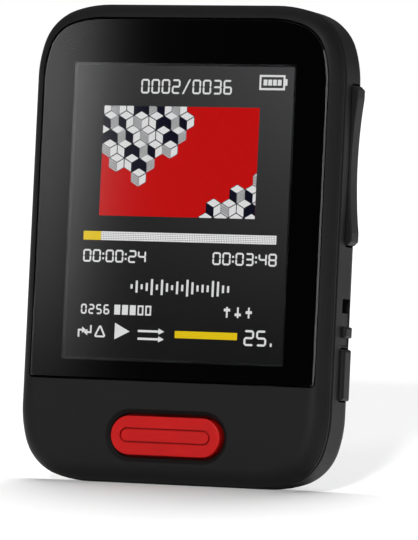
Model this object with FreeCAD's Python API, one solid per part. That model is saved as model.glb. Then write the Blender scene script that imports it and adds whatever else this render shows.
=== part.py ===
"""Clip-on digital audio player: a two-piece plastic case with a colour screen, one large front button,
three controls along its right side and a sprung clip on its back.

Frame: millimetres, +Z up, +X to the right of the screen, -Y the way the screen faces.
The origin is the middle of the flat bottom face. Depths are counted from the front of the window.
"""
import math
import os

import FreeCAD, Part

os.makedirs("parts", exist_ok=True)

# ---- Case -------------------------------------------------------------------------------------
BODY_WIDTH = 39.7
BODY_HEIGHT = 57.3
BODY_DEPTH = 9.3
WALL = 1.2
FACE_PLATE = 1.6          # thickness of the front face behind its outer surface
FRONT_ROUND = 2.2         # radius from the front face into the sides
REAR_ROUND = 3.0          # radius from the sides into the back
CORNER_WIDE_R = 14.0      # each corner is a wide arc, a tight arc and a wide arc
CORNER_TIGHT_R = 6.2
CORNER_TURN = 18.0        # degrees turned by each wide arc
SEAM_DEPTH = 2.1          # where the front cover's side ends
SEAM_GAP = 0.28
SEAM_EDGE = 0.12          # bevel on each side of the seam
STEP_INSET = 0.18         # the front cover steps in by this just ahead of the seam
STEP_DEPTH = 1.56
TONGUE_INSET = 0.7
TONGUE_END = 2.9          # depth that the front cover's tongue reaches
TONGUE_FIT = 0.08
ROOT = 0.2                # how far a joined feature starts inside what carries it
RUNNING_GAP = 0.05

# ---- Window and screen ------------------------------------------------------------------------
WINDOW_HALF_WIDTH = 18.36
WINDOW_LOW = 12.22
WINDOW_TOP_MARGIN = 1.8
WINDOW_TOP_INSET = 1.5    # how far the window's top corners lie inside the case's
WINDOW_LOW_CORNER_R = 0.5
WINDOW_THICKNESS = 0.9
WINDOW_EDGE = 0.18        # polished bevel round the window
WINDOW_GAP = 0.12
INK_THICKNESS = 0.08
TAPE_THICKNESS = 0.12
SCREEN_WIDTH = 28.03      # lit area
SCREEN_HEIGHT = 35.04
SCREEN_CENTRE_X = -0.2
SCREEN_LOW = 14.83
SCREEN_FRAME = 0.32       # clear border between the lit area and the ink
LCD_HALF_WIDTH = 16.2
LCD_LOW_MARGIN = 1.4      # glass below the lit area
LCD_TOP_MARGIN = 3.3      # glass above it, which carries the driver
LCD_THICKNESS = 1.1
BACKLIGHT_THICKNESS = 1.1
LCD_CLEARANCE = 0.25
FOAM_THICKNESS = 0.3
FOAM_WIDTH = 24.0
FOAM_HEIGHT = 26.0
SCREEN_HOLE_ROUND = 0.4
SCREEN_ROUND = 0.2
INK_INSET = 0.1
TAPE_INSET = 0.15
TAPE_SHIFT = 0.2          # how far the tape's opening lies below the glass
TAPE_HOLE_ROUND = 3.0
BACKLIGHT_INSET = 0.1

# ---- Circuit board ----------------------------------------------------------------------------
BOARD_THICKNESS = 0.8
BOARD_INSET = 2.5         # from the case's outline to the board's edge
FLEX_WIDTH = 11.0
FLEX_THICKNESS = 0.12
FLEX_LOW_X = 1.0
FLEX_NOTCH = 0.5
FLEX_REACH = 3.8          # from the top of the glass down to the connector
CONNECTOR_MARGIN = 0.6
CONNECTOR_THICKNESS = 1.0
CONNECTOR_HEIGHT = 2.4
BOARD_CLEARANCE = 0.3     # round the headphone socket
SCREW_CLEARANCE = 0.25    # round each screw, in the board
PASSIVE_ROWS = (3.8, 8.4, 18.6)
PASSIVES_IN_ROW = 6
PASSIVE_START = -10.5
PASSIVE_PITCH = 3.2
PASSIVE_STAGGER = 0.6
PASSIVE_SIZE = (1.4, 0.8, 0.6)

# ---- Main button ------------------------------------------------------------------------------
BUTTON_X = -0.17
BUTTON_Z = 5.7
BUTTON_HALF_LENGTH = 7.03
BUTTON_HALF_HEIGHT = 2.33
BUTTON_PROUD = 0.34
BUTTON_TRAVEL = 0.4
BUTTON_GAP = 0.33
BUTTON_ROUND = 0.16
BUTTON_FLANGE = 0.75
BUTTON_FLANGE_THICKNESS = 0.35
GROOVE_HALF_LENGTH = 5.85   # groove that rings a bar in the button's face
GROOVE_HALF_HEIGHT = 0.92
GROOVE_WIDTH = 0.24
GROOVE_DEPTH = 0.4
MOAT_WIDTH = 0.5          # bevel of the front face round the button
MOAT_DEPTH = 0.4
BUTTON_SWITCH_WIDTH = 5.2
BUTTON_SWITCH_HEIGHT = 3.4
BUTTON_SWITCH_GAP = 0.15
BUTTON_SWITCH_FLOOR = 0.1
BUTTON_PLUNGER_R = 0.9
PLUNGER_FIT = 0.1

# ---- Side controls ----------------------------------------------------------------------------
KEY_DEPTH = 5.6           # middle of the keys, from the window's front
KEY_WIDTH = 2.4
KEY_GAP = 0.1             # along the width of each key
KEY_SLOT_ROUND = 0.3
ROCKER_Z = 38.7
ROCKER_LENGTH = 18.9
ROCKER_PROUD = 0.7
ROCKER_SADDLE = 0.2       # proud height at its hollow middle
ROCKER_TIP = 1.5
ROCKER_BEVEL = 0.45
ROCKER_ROUND = 0.15
ROCKER_DEPTH = 1.85       # from the case's side in to its inner face
ROCKER_END_GAP = 0.26
ROCKER_REACH = 3.25       # from the case's side in to the pivot
ROCKER_PIN_R = 0.55
ROCKER_LUG_HALF = 0.5     # half the lug's thickness along the pin
ROCKER_EYE_R = 0.95
ROCKER_EYE_FIT = 0.06
ROCKER_SWITCH_OFFSET = 7.2
ROCKER_SWITCH_WIDTH = 2.7
ROCKER_SWITCH_SHIFT = 0.3   # of the switches' faces past the pivot
ROCKER_SWITCH_STOP = 0.4    # from the rocker's inside to the plungers
ROCKER_PLUNGER_HALF = (0.5, 0.8)
BRACKET_HALF_HEIGHT = 1.2
BRACKET_EAR = 0.5
BRACKET_EAR_GAP = 0.1
BRACKET_BACK = 1.8
BRACKET_FRONT = 0.8
BRACKET_BASE = 0.7
SWITCH_THICKNESS = 2.1
SWITCH_HALF_HEIGHT = 1.9
SLOT_LOW = 17.3
SLOT_LENGTH = 5.6
SLIDER_PLATE = 3.8
SLIDER_TRAVEL = 1.6
SLIDER_RIDGE = 1.3
SLIDER_RIDGE_PROUD = 0.5
SLIDER_SUNK = 0.15
SLIDER_START = 0.1        # from the slot's low end to the plate at rest
SLIDER_RIDGE_START = 0.9
SLIDER_RIDGE_ROUND = 0.3
SLIDER_LEVER_RISE = 1.95
FLANGE_OVER = 0.25        # how far the flanges reach past the keys, forwards
FLANGE_BACK = 0.05        # and backwards
FORK_HALF_GAP = 0.6
FORK_PRONG = 0.4
FORK_REACH = 0.45         # from the pivot's place out to the fork's tips
SLIDER_FLANGE_LOW = 1.2
SLIDER_FLANGE_HIGH = 0.4
SLIDE_SWITCH_WIDTH = 3.2
SLIDE_SWITCH_HALF = 2.6
SLIDE_SWITCH_SHIFT = 0.2
SWITCH_WELL = 1.3
LEVER_HALF = 0.4
LEVER_HALF_HEIGHT = 0.5
LEVER_GAP = 0.15
LEVER_X = (0.8, 0.15)     # inwards from the pivot's place, and short of the flange
KEY_LOW = 10.85
KEY_LENGTH = 6.1
KEY_PROUD = 0.5
KEY_TRAVEL = 0.35
KEY_FLANGE_DROP = 0.7
KEY_FLANGE_THICKNESS = 0.45
KEY_END_GAP = 0.18
KEY_ROUND = 0.4
KEY_FLANGE_LOW = 0.6
KEY_FLANGE_STOP = 1.45    # clear of the slider's flange
KEY_SWITCH_RISE = 2.5
KEY_SWITCH_WIDTH = 3.0
KEY_PLUNGER_R = 0.75
KEY_PLUNGER_SHIFT = 0.1
KEY_PLUNGER_TAIL = 0.1
KEY_SWITCH_SHIFT = 0.4

# ---- Sockets ----------------------------------------------------------------------------------
JACK_X = -8.0
JACK_DEPTH = 5.5
JACK_BORE_R = 1.8
JACK_BORE_LENGTH = 10.5
JACK_HALF_WIDTH = 2.5
JACK_HALF_DEPTH = 2.1
JACK_COLLAR_R = 2.4
JACK_SUNK = 0.6
JACK_FLOOR = 0.7
JACK_BODY_DROP = 0.9      # from the inside of the case's top down to the socket's body
JACK_COLLAR_ROOT = 0.73   # how far the collar starts inside the socket's body
USB_Z = 14.0
USB_DEPTH = 5.7
USB_HALF_HEIGHT = 3.8
USB_HALF_DEPTH = 1.3
USB_LENGTH = 5.0
USB_WALL = 0.3
USB_SUNK = 0.5
USB_GAP = 0.3
USB_ROUND_SHARE = 0.6     # corner radius as a share of the socket's half-depth
USB_TONGUE_SUNK = 0.8
USB_TONGUE_HALF_DEPTH = 0.3
USB_TONGUE_HALF_HEIGHT = 2.6
JACK_HOLE_FIT = 0.1

# ---- Battery ----------------------------------------------------------------------------------
BATTERY_WIDTH = 27.8
BATTERY_HEIGHT = 24.0
BATTERY_THICKNESS = 2.9
BATTERY_LOW = 19.8
BATTERY_LOW_X = -15.5
BATTERY_TAPE = 0.3
BATTERY_TAPE_WIDTH = 20.0
BATTERY_TAPE_HEIGHT = 16.0
BATTERY_ROUND = 0.6
BATTERY_BOARD_X = (-3.5, 11.5)
BATTERY_BOARD_HEIGHT = 2.6
BATTERY_BOARD_HALF = 0.4
LEAD_R = 0.35
LEAD_X = (-2.6, -1.2)
LEAD_RISE = 0.6
LEAD_BEND = 0.8

# ---- Case screws ------------------------------------------------------------------------------
SCREW_X = 14.2
SCREW_Z = 6.0
SCREW_SHANK_R = 0.55
SCREW_HEAD_R = 1.3
SCREW_HEAD_HEIGHT = 0.6
SCREW_SINK = 0.75
POST_R = 1.9
SCREW_TIP = 0.5           # from the face plate to the screws' tips
PILOT_FIT = 0.02
PILOT_FLOOR = 0.3
SHANK_FIT = 0.1
HEAD_FIT = 0.15
CROSS_LENGTH = 1.5
CROSS_WIDTH = 0.36
CROSS_DEPTH = 0.35

# ---- Back clip --------------------------------------------------------------------------------
CLIP_HALF_WIDTH = 9.5
CLIP_LOW = 10.5
CLIP_PIVOT_Z = 42.5
CLIP_LEVER = 8.0          # from the pivot up to the end of the thumb lever
CLIP_THICKNESS = 1.5
CLIP_STANDOFF = 1.9       # from the case's back to the pivot's middle
CLIP_SETBACK = 0.6        # from the pivot's middle out to the plate
CLIP_KNUCKLE_R = 1.7
CLIP_PIN_R = 0.75
CLIP_SPRING_BAY = 3.4     # half-width of the gap in the middle of the knuckle
CLIP_EAR_GAP = 0.3
CLIP_EAR_THICKNESS = 1.5
CLIP_PAD_THICKNESS = 0.35
CLIP_PAD_GAP = 0.2
CLIP_ROUND = 3.0
CLIP_EDGE_ROUND = 0.5
CLIP_GROOVES = 4
CLIP_GROOVE_PITCH = 1.3
CLIP_GROOVE_START = 1.6
CLIP_GROOVE_HALF = (6.5, 0.3)
CLIP_GROOVE_DEPTH = 0.3
JAW_INSET = 1.5
JAW_Z = (0.6, 3.4)        # above the plate's low end
PAD_INSET = 2.0
PAD_Z = (0.9, 3.1)
EAR_FOOT = 0.6            # how far each ear's foot reaches past its neck
EAR_FOOT_ROOT = 0.4
EAR_FOOT_HEIGHT = 0.5
PIN_FIT = 0.01
SPRING_MEAN_R = 1.25
SPRING_WIRE_R = 0.25
SPRING_TURNS = 7
SPRING_LEG = 5.0          # height that each leg reaches from the pivot
SPRING_COIL_GAP = 0.08
SPRING_CLEARANCE = 0.05

# ---- Derived places ---------------------------------------------------------------------------
HALF_WIDTH = BODY_WIDTH / 2
WINDOW_HIGH = BODY_HEIGHT - WINDOW_TOP_MARGIN
INK_DEPTH = WINDOW_THICKNESS
TAPE_DEPTH = INK_DEPTH + INK_THICKNESS
LEDGE_DEPTH = TAPE_DEPTH + TAPE_THICKNESS
LCD_DEPTH = LEDGE_DEPTH
LCD_LOW = SCREEN_LOW - LCD_LOW_MARGIN
LCD_HIGH = SCREEN_LOW + SCREEN_HEIGHT + LCD_TOP_MARGIN
BACKLIGHT_DEPTH = LCD_DEPTH + LCD_THICKNESS
FOAM_DEPTH = BACKLIGHT_DEPTH + BACKLIGHT_THICKNESS
BOARD_FRONT = FOAM_DEPTH + FOAM_THICKNESS
BOARD_BACK = BOARD_FRONT + BOARD_THICKNESS
BACK_INSIDE = BODY_DEPTH - WALL
SIDE_INSIDE = HALF_WIDTH - WALL
BUTTON_HOLE_HALF_LENGTH = BUTTON_HALF_LENGTH + BUTTON_GAP
BUTTON_HOLE_HALF_HEIGHT = BUTTON_HALF_HEIGHT + BUTTON_GAP
BUTTON_FLANGE_DEPTH = FACE_PLATE + RUNNING_GAP
BUTTON_BACK = BUTTON_FLANGE_DEPTH + BUTTON_FLANGE_THICKNESS
KEY_FRONT = KEY_DEPTH - KEY_WIDTH / 2
KEY_BACK = KEY_DEPTH + KEY_WIDTH / 2
KEY_FLANGE_X = SIDE_INSIDE - KEY_FLANGE_DROP
ROCKER_PIVOT_X = HALF_WIDTH - ROCKER_REACH
ROCKER_INSIDE = HALF_WIDTH - ROCKER_DEPTH
ROCKER_SWITCH_X = ROCKER_PIVOT_X + ROCKER_SWITCH_SHIFT
SWITCH_BACK = BOARD_BACK + SWITCH_THICKNESS
JACK_TOP = BODY_HEIGHT - JACK_SUNK
JACK_LOW = JACK_TOP - JACK_BORE_LENGTH - JACK_FLOOR
BATTERY_DEPTH = BACK_INSIDE - BATTERY_TAPE - BATTERY_THICKNESS
BATTERY_HIGH = BATTERY_LOW + BATTERY_HEIGHT
SCREW_HEAD_DEPTH = BODY_DEPTH - SCREW_SINK
CLIP_PIVOT_DEPTH = BODY_DEPTH + CLIP_STANDOFF
CLIP_PLATE_DEPTH = CLIP_PIVOT_DEPTH + CLIP_SETBACK
CLIP_BAY_DEPTH = CLIP_PIVOT_DEPTH + SPRING_MEAN_R + SPRING_WIRE_R + SPRING_CLEARANCE
CLIP_PLATE_BACK = CLIP_PLATE_DEPTH + CLIP_THICKNESS
CLIP_EAR_X = CLIP_HALF_WIDTH + CLIP_EAR_GAP
ALONG_Y = FreeCAD.Vector(0, 1, 0)
ALONG_X = FreeCAD.Vector(1, 0, 0)
ALONG_Z = FreeCAD.Vector(0, 0, 1)


def place(x, depth, z):
    """A point from its distance to the right, its depth behind the window's front and its height."""
    return FreeCAD.Vector(x, depth - BODY_DEPTH / 2, z)


def block(x, depth, z):
    """A box from three (low, high) pairs."""
    size = (x[1] - x[0], depth[1] - depth[0], z[1] - z[0])
    return Part.makeBox(*size, place(x[0], depth[0], z[0]))


def centred(x, z, width, height, depth):
    """A box on the board, about (x, z), between two depths."""
    return block((x - width / 2, x + width / 2), depth, (z - height / 2, z + height / 2))


def rod(radius, start, length, direction):
    """A cylinder from a place, along a direction."""
    return Part.makeCylinder(radius, length, place(*start), direction)


def fused(first, *others):
    """One clean solid out of pieces that overlap or share faces."""
    return first.fuse(list(others)).removeSplitter()


def edges_at(shape, depth):
    """The edges of a shape that lie wholly at one depth."""
    y = depth - BODY_DEPTH / 2
    return [e for e in shape.Edges if all(abs(v.Y - y) < 1e-4 for v in e.Vertexes)]


def corner_arcs(corner, side, radii, depth):
    """Arcs that round one corner, in order from its upright side to its level side."""
    wide, tight = radii
    turn = math.radians(CORNER_TURN)
    reach = wide * (1 + math.sin(turn) - math.cos(turn)) + tight * (math.cos(turn) - math.sin(turn))
    first = (-wide, -reach)
    second = (
        first[0] + (wide - tight) * math.cos(turn),
        first[1] + (wide - tight) * math.sin(turn),
    )
    third = (-reach, -wide)
    spans = [
        (first, wide, 0, turn),
        (second, tight, turn, math.pi / 2 - turn),
        (third, wide, math.pi / 2 - turn, math.pi / 2),
    ]
    if wide == tight:
        spans = [(first, wide, 0, math.pi / 2)]
    arcs = []
    for centre, radius, start, end in spans:
        points = []
        for angle in (start, (start + end) / 2, end):
            x = corner[0] + side[0] * (centre[0] + radius * math.cos(angle))
            z = corner[1] + side[1] * (centre[1] + radius * math.sin(angle))
            points.append(place(x, depth, z))
        arcs.append(points)
    return arcs


def outline(half_width, low, high, top, bottom, depth):
    """A closed wire round an upright shape whose top and bottom corners have their own radii."""
    walk = []
    for corner, side, radii, backwards in (
        ((half_width, high), (1, 1), top, False),
        ((-half_width, high), (-1, 1), top, True),
        ((-half_width, low), (-1, -1), bottom, False),
        ((half_width, low), (1, -1), bottom, True),
    ):
        arcs = corner_arcs(corner, side, radii, depth)
        if backwards:
            arcs = [points[::-1] for points in arcs[::-1]]
        walk.extend(arcs)
    edges = []
    for index, points in enumerate(walk):
        previous = walk[index - 1][-1]
        if previous.distanceToPoint(points[0]) > 1e-6:
            edges.append(Part.LineSegment(previous, points[0]).toShape())
        edges.append(Part.Arc(*points).toShape())
    return Part.Wire(edges)


def slab(wire, thickness):
    """A closed wire made solid, backwards into the case."""
    return Part.Face(wire).extrude(ALONG_Y * thickness)


def case_outline(inset, depth):
    """The case's outline, drawn in by an inset."""
    radii = (CORNER_WIDE_R - inset, CORNER_TIGHT_R - inset)
    return outline(HALF_WIDTH - inset, inset, BODY_HEIGHT - inset, radii, radii, depth)


def window_outline(inset, depth):
    """The window's outline: its top follows the case's corners and its bottom is nearly square."""
    drawn_in = WINDOW_TOP_INSET + inset
    top = (CORNER_WIDE_R - drawn_in, CORNER_TIGHT_R - drawn_in)
    foot = max(WINDOW_LOW_CORNER_R - inset, 0.2)
    high = WINDOW_HIGH - inset
    return outline(WINDOW_HALF_WIDTH - inset, WINDOW_LOW + inset, high, top, (foot, foot), depth)


def frame_outline(half_width, low, high, radius, depth, centre_x=0.0):
    """A rounded rectangle."""
    wire = outline(half_width, low, high, (radius, radius), (radius, radius), depth)
    wire.translate(ALONG_X * centre_x)
    return wire


def pill(half_length, half_height, depth):
    """A bar with round ends, about the main button's middle."""
    straight = half_length - half_height
    low, high = BUTTON_Z - half_height, BUTTON_Z + half_height
    right = Part.Arc(
        place(straight, depth, low), place(half_length, depth, BUTTON_Z), place(straight, depth, high)
    )
    left = Part.Arc(
        place(-straight, depth, high), place(-half_length, depth, BUTTON_Z), place(-straight, depth, low)
    )
    top = Part.LineSegment(place(straight, depth, high), place(-straight, depth, high))
    bottom = Part.LineSegment(place(-straight, depth, low), place(straight, depth, low))
    wire = Part.Wire([right.toShape(), top.toShape(), left.toShape(), bottom.toShape()])
    wire.translate(ALONG_X * BUTTON_X)
    return wire


def key_slot(low, high):
    """An opening through the right wall for a side control."""
    depth = (KEY_FRONT - KEY_GAP, KEY_BACK + KEY_GAP)
    cut = block((SIDE_INSIDE - 1.0, HALF_WIDTH + 1.0), depth, (low, high))
    along = [e for e in cut.Edges if abs(e.Vertexes[0].X - e.Vertexes[1].X) > 1]
    return cut.makeFillet(KEY_SLOT_ROUND, along)


# ---- Case -------------------------------------------------------------------------------------
def case_shell():
    """The whole hollow case, before it is parted at the seam."""
    body = slab(case_outline(0, 0), BODY_DEPTH)
    body = body.makeFillet(FRONT_ROUND, edges_at(body, 0))
    body = body.makeFillet(REAR_ROUND, edges_at(body, BODY_DEPTH))
    cavity = slab(case_outline(WALL, FACE_PLATE), BACK_INSIDE - FACE_PLATE)
    cavity = cavity.makeFillet(REAR_ROUND - WALL, edges_at(cavity, BACK_INSIDE))
    return body.cut(cavity)


def front_step():
    """What is cut from the front cover's sides to leave a bevelled step just ahead of the seam."""
    ring = slab(case_outline(-1, -1), 1 + STEP_DEPTH + STEP_INSET)
    core = slab(case_outline(STEP_INSET, -1), 1 + STEP_DEPTH)
    flare = Part.makeLoft(
        [case_outline(STEP_INSET, STEP_DEPTH), case_outline(0, STEP_DEPTH + STEP_INSET)], True, True
    )
    return ring.cut([core, flare])


def front_cover(shell):
    """Front face with the window's recess, the button's hole, a tongue and two screw bosses."""
    far = BODY_WIDTH
    cover = shell.common(block((-far, far), (-1, SEAM_DEPTH), (-1, BODY_HEIGHT + 1)))
    trim = slab(case_outline(-1, SEAM_DEPTH - SEAM_EDGE), SEAM_EDGE)
    narrow = Part.makeLoft(
        [case_outline(0, SEAM_DEPTH - SEAM_EDGE), case_outline(SEAM_EDGE, SEAM_DEPTH)], True, True
    )
    cover = cover.cut([trim.cut(narrow), front_step()])
    tongue = slab(case_outline(TONGUE_INSET, FACE_PLATE - ROOT), TONGUE_END - FACE_PLATE + ROOT)
    tongue = tongue.cut(slab(case_outline(WALL, FACE_PLATE - 2 * ROOT), TONGUE_END))
    bosses = [
        rod(POST_R, (x, FACE_PLATE - ROOT, SCREW_Z), BOARD_FRONT - FACE_PLATE + ROOT, ALONG_Y)
        for x in (-SCREW_X, SCREW_X)
    ]
    cover = fused(cover, tongue, *bosses)
    pocket = slab(window_outline(-WINDOW_GAP, -1), LEDGE_DEPTH + 1)
    half = LCD_HALF_WIDTH + LCD_CLEARANCE
    low, high = LCD_LOW - LCD_CLEARANCE, LCD_HIGH + LCD_CLEARANCE
    screen_wire = frame_outline(half, low, high, SCREEN_HOLE_ROUND, 0, SCREEN_CENTRE_X)
    screen_hole = slab(screen_wire, FACE_PLATE + 1)
    button_hole = slab(pill(BUTTON_HOLE_HALF_LENGTH, BUTTON_HOLE_HALF_HEIGHT, -1), FACE_PLATE + 2)
    rim = pill(BUTTON_HOLE_HALF_LENGTH + MOAT_WIDTH, BUTTON_HOLE_HALF_HEIGHT + MOAT_WIDTH, 0)
    root = pill(BUTTON_HOLE_HALF_LENGTH, BUTTON_HOLE_HALF_HEIGHT, MOAT_DEPTH)
    moat = Part.makeLoft([rim, root], True, True)
    pilots = [
        rod(SCREW_SHANK_R + PILOT_FIT, (x, FACE_PLATE + PILOT_FLOOR, SCREW_Z), BOARD_FRONT, ALONG_Y)
        for x in (-SCREW_X, SCREW_X)
    ]
    return cover.cut([pocket, screen_hole, button_hole, moat] + pilots)


def rear_cover(shell):
    """Back and sides, with the openings for the side controls and sockets, and the clip's ears."""
    far = BODY_WIDTH
    start = SEAM_DEPTH + SEAM_GAP
    cover = shell.common(block((-far, far), (start, BODY_DEPTH + 1), (-1, BODY_HEIGHT + 1)))
    trim = slab(case_outline(-1, start), SEAM_EDGE)
    narrow = Part.makeLoft(
        [case_outline(SEAM_EDGE, start), case_outline(0, start + SEAM_EDGE)], True, True
    )
    rebate = slab(case_outline(TONGUE_INSET - TONGUE_FIT, 0), TONGUE_END + TONGUE_FIT)
    cover = cover.cut([trim.cut(narrow), rebate])
    posts = [
        rod(POST_R, (x, BOARD_BACK, SCREW_Z), BACK_INSIDE - BOARD_BACK + ROOT, ALONG_Y)
        for x in (-SCREW_X, SCREW_X)
    ]
    ears = [clip_ear(CLIP_EAR_X), clip_ear(-CLIP_EAR_X - CLIP_EAR_THICKNESS)]
    cover = fused(cover, *posts, *ears)
    half_rocker = ROCKER_LENGTH / 2 + ROCKER_END_GAP
    jack_hole = (JACK_X, JACK_DEPTH, BODY_HEIGHT - 2 * WALL)
    cuts = [
        key_slot(ROCKER_Z - half_rocker, ROCKER_Z + half_rocker),
        key_slot(SLOT_LOW, SLOT_LOW + SLOT_LENGTH),
        key_slot(KEY_LOW - KEY_END_GAP, KEY_LOW + KEY_LENGTH + KEY_END_GAP),
        rod(JACK_COLLAR_R + JACK_HOLE_FIT, jack_hole, 3 * WALL, ALONG_Z),
        usb_bar(USB_GAP, -HALF_WIDTH - 1, 1 + 2 * WALL),
    ]
    for x in (-SCREW_X, SCREW_X):
        cuts.append(rod(SCREW_SHANK_R + SHANK_FIT, (x, BOARD_FRONT, SCREW_Z), BODY_DEPTH, ALONG_Y))
        cuts.append(rod(SCREW_HEAD_R + HEAD_FIT, (x, SCREW_HEAD_DEPTH, SCREW_Z), BODY_DEPTH, ALONG_Y))
    return cover.cut(cuts)


def clip_ear(low_x):
    """One of the two ears that hold the clip's pin, standing on the back."""
    x = (low_x, low_x + CLIP_EAR_THICKNESS)
    reach = CLIP_KNUCKLE_R + EAR_FOOT
    foot_depth = (BACK_INSIDE + EAR_FOOT_ROOT, BODY_DEPTH + EAR_FOOT_HEIGHT)
    foot = block(x, foot_depth, (CLIP_PIVOT_Z - reach, CLIP_PIVOT_Z + reach))
    neck_z = (CLIP_PIVOT_Z - CLIP_KNUCKLE_R, CLIP_PIVOT_Z + CLIP_KNUCKLE_R)
    neck = block(x, (BODY_DEPTH, CLIP_PIVOT_DEPTH), neck_z)
    start = (low_x, CLIP_PIVOT_DEPTH, CLIP_PIVOT_Z)
    head = rod(CLIP_KNUCKLE_R, start, CLIP_EAR_THICKNESS, ALONG_X)
    hole = rod(CLIP_PIN_R + PIN_FIT, start, CLIP_EAR_THICKNESS, ALONG_X)
    return fused(foot, neck, head).cut(hole)


def case_screws():
    """Two self-tapping screws that clamp the covers and the board at the bottom corners."""
    screws = []
    for x in (-SCREW_X, SCREW_X):
        tip = FACE_PLATE + SCREW_TIP
        shank = rod(SCREW_SHANK_R, (x, tip, SCREW_Z), SCREW_HEAD_DEPTH - tip, ALONG_Y)
        head = rod(SCREW_HEAD_R, (x, SCREW_HEAD_DEPTH, SCREW_Z), SCREW_HEAD_HEIGHT, ALONG_Y)
        top = SCREW_HEAD_DEPTH + SCREW_HEAD_HEIGHT
        depth = (top - CROSS_DEPTH, top + 1)
        cross = [
            centred(x, SCREW_Z, CROSS_LENGTH, CROSS_WIDTH, depth),
            centred(x, SCREW_Z, CROSS_WIDTH, CROSS_LENGTH, depth),
        ]
        screws.append(fused(shank, head).cut(cross))
    return Part.makeCompound(screws)


# ---- Window and screen ------------------------------------------------------------------------
def display_window():
    """Clear window with a polished bevel all round."""
    window = slab(window_outline(0, 0), WINDOW_THICKNESS)
    return window.makeChamfer(WINDOW_EDGE, edges_at(window, 0))


def lit_area(border, depth, thickness):
    """The screen's lit area, grown by a border, as a slab."""
    low, high = SCREEN_LOW - border, SCREEN_LOW + SCREEN_HEIGHT + border
    half = SCREEN_WIDTH / 2 + border
    wire = frame_outline(half, low, high, SCREEN_ROUND, depth, SCREEN_CENTRE_X)
    return slab(wire, thickness)


def window_ink():
    """Black print on the back of the window, open over the lit area."""
    ink = slab(window_outline(INK_INSET, INK_DEPTH), INK_THICKNESS)
    return ink.cut(lit_area(SCREEN_FRAME, INK_DEPTH - 1, 3))


def window_tape():
    """Double-sided tape that holds the window on its ledge."""
    tape = slab(window_outline(TAPE_INSET, TAPE_DEPTH), TAPE_THICKNESS)
    half = LCD_HALF_WIDTH + LCD_CLEARANCE
    low, high = LCD_LOW - TAPE_SHIFT, LCD_HIGH - TAPE_SHIFT
    hole = frame_outline(half, low, high, TAPE_HOLE_ROUND, TAPE_DEPTH - 1, SCREEN_CENTRE_X)
    return tape.cut(slab(hole, 3))


def lcd_block(inset, depth):
    """A slab of the screen module's outline, drawn in by an inset."""
    half = LCD_HALF_WIDTH - inset
    x = (SCREEN_CENTRE_X - half, SCREEN_CENTRE_X + half)
    return block(x, depth, (LCD_LOW + inset, LCD_HIGH - inset))


def lcd_panel():
    """The liquid-crystal glass."""
    return lcd_block(0, (LCD_DEPTH, BACKLIGHT_DEPTH))


def lcd_backlight():
    """Light guide and its plastic frame behind the glass."""
    return lcd_block(BACKLIGHT_INSET, (BACKLIGHT_DEPTH, FOAM_DEPTH))


def lcd_foam():
    """Foam that presses the screen against the window's ledge."""
    middle = SCREEN_LOW + SCREEN_HEIGHT / 2
    return centred(SCREEN_CENTRE_X, middle, FOAM_WIDTH, FOAM_HEIGHT, (FOAM_DEPTH, BOARD_FRONT))


def lcd_flex():
    """Flat flexible lead from the top of the glass, round the board's edge to its connector."""
    x = (FLEX_LOW_X, FLEX_LOW_X + FLEX_WIDTH)
    front = LCD_DEPTH + LCD_THICKNESS / 2
    back = BOARD_BACK + FLEX_THICKNESS
    radius = (back - front) / 2
    middle = (front + back) / 2
    start = (x[0], middle, LCD_HIGH)
    half = FLEX_THICKNESS / 2
    bend = rod(radius + half, start, FLEX_WIDTH, ALONG_X).cut(
        rod(radius - half, start, FLEX_WIDTH, ALONG_X)
    )
    bend = bend.common(block(x, (0, BODY_DEPTH), (LCD_HIGH, BODY_HEIGHT)))
    tail = block(x, (back - half, back + half), (flex_connector_high(), LCD_HIGH))
    return fused(bend, tail)


def flex_connector_high():
    """Top of the flexible lead's connector."""
    return LCD_HIGH - FLEX_REACH


def flex_connector():
    """Connector that holds the flexible lead's end."""
    x = (FLEX_LOW_X - CONNECTOR_MARGIN, FLEX_LOW_X + FLEX_WIDTH + CONNECTOR_MARGIN)
    high = flex_connector_high()
    depth = (BOARD_BACK, BOARD_BACK + CONNECTOR_THICKNESS)
    return block(x, depth, (high - CONNECTOR_HEIGHT, high))


# ---- Circuit board ----------------------------------------------------------------------------
def main_board():
    """Circuit board, notched for the headphone jack and the flexible lead, with two screw holes."""
    board = slab(case_outline(BOARD_INSET, BOARD_FRONT), BOARD_THICKNESS)
    depth = (BOARD_FRONT - 1, BOARD_BACK + 1)
    half = JACK_HALF_WIDTH + BOARD_CLEARANCE
    jack_x = (JACK_X - half, JACK_X + half)
    flex_x = (FLEX_LOW_X - FLEX_NOTCH, FLEX_LOW_X + FLEX_WIDTH + FLEX_NOTCH)
    cuts = [
        block(jack_x, depth, (JACK_LOW - BOARD_CLEARANCE, BODY_HEIGHT)),
        block(flex_x, depth, (LCD_HIGH - FLEX_NOTCH, BODY_HEIGHT)),
    ]
    for x in (-SCREW_X, SCREW_X):
        start = (x, BOARD_FRONT - 1, SCREW_Z)
        cuts.append(rod(SCREW_SHANK_R + SCREW_CLEARANCE, start, BOARD_THICKNESS + 2, ALONG_Y))
    return board.cut(cuts)


def chip(x, z, width, height, thickness):
    """A package soldered on the board's back."""
    return centred(x, z, width, height, (BOARD_BACK, BOARD_BACK + thickness))


def small_components():
    """Capacitors, resistors and coils on the board's back."""
    places = []
    for row, z in enumerate(PASSIVE_ROWS):
        for column in range(PASSIVES_IN_ROW):
            places.append((PASSIVE_START + PASSIVE_PITCH * column + PASSIVE_STAGGER * row, z))
    return Part.makeCompound([chip(x, z, *PASSIVE_SIZE) for x, z in places])


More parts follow.
